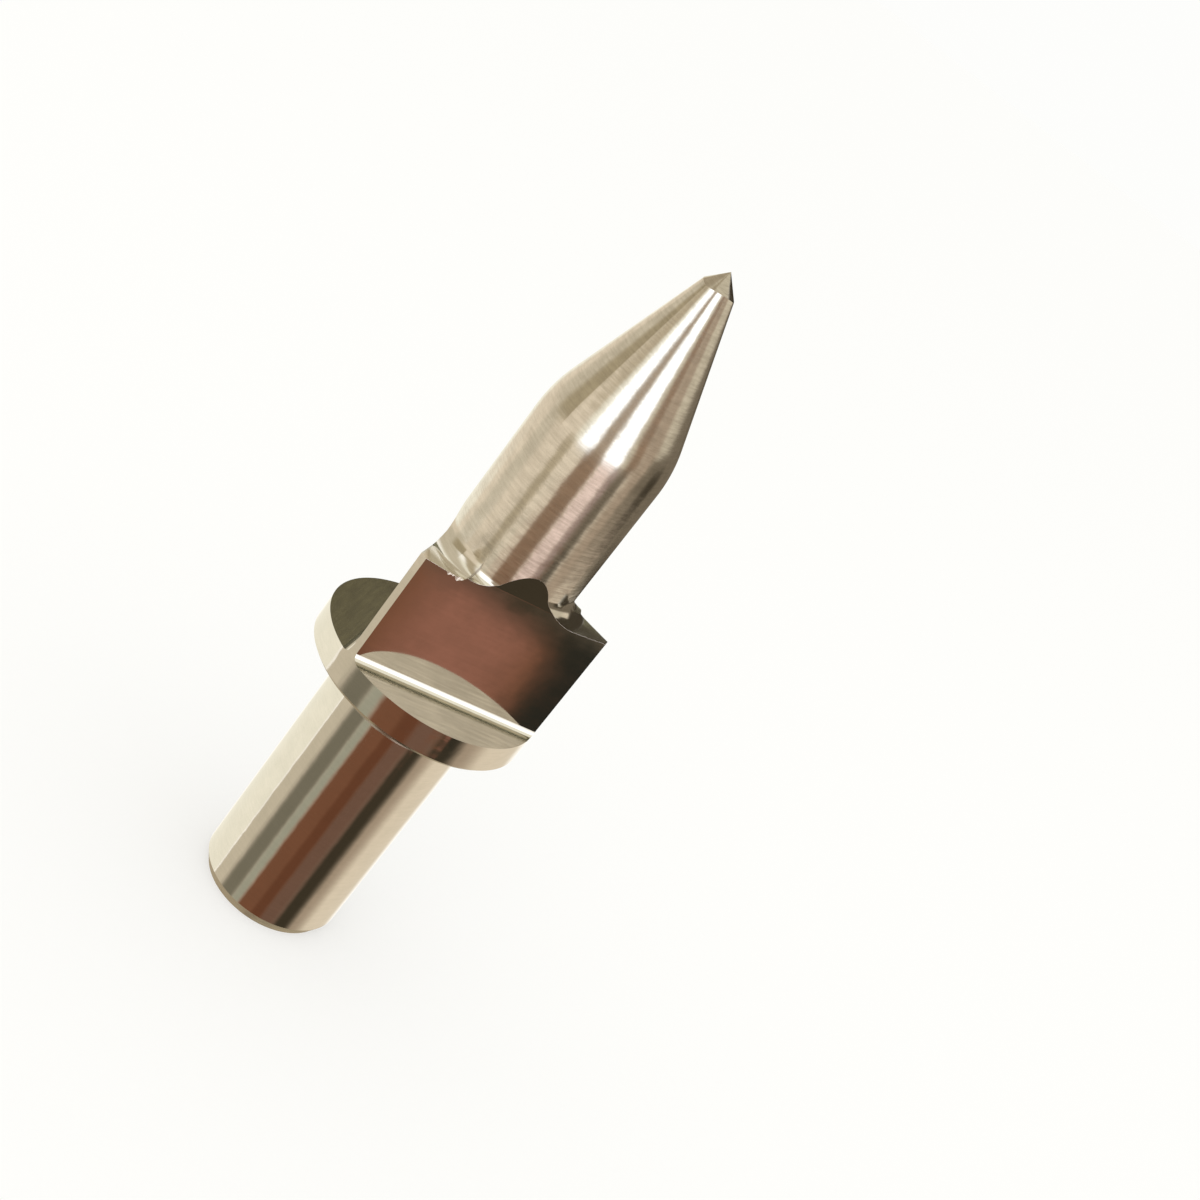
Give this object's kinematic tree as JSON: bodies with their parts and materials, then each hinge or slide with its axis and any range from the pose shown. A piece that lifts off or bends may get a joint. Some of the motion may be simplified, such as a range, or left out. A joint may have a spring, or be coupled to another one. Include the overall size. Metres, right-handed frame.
{
  "type": "flow drill bit",
  "caption": "Solid round flow drill bit: plain shank, round collar, head with ground flats, slim forming body, long cone and a short centring point.",
  "frame": {"origin": "centre of the flat end face of the shank", "axes": "+Z along the bit's axis from the shank to the point; one flat of the head faces -Y"},
  "size_m": [0.0156, 0.0156, 0.0524],
  "materials": {
    "ground_carbide": "ground, bright on the shank, collar and flats, satin on the body and cone"
  },
  "bodies": {
    "root": {"flow_drill_bit": "ground_carbide"}
  },
  "joints": []
}
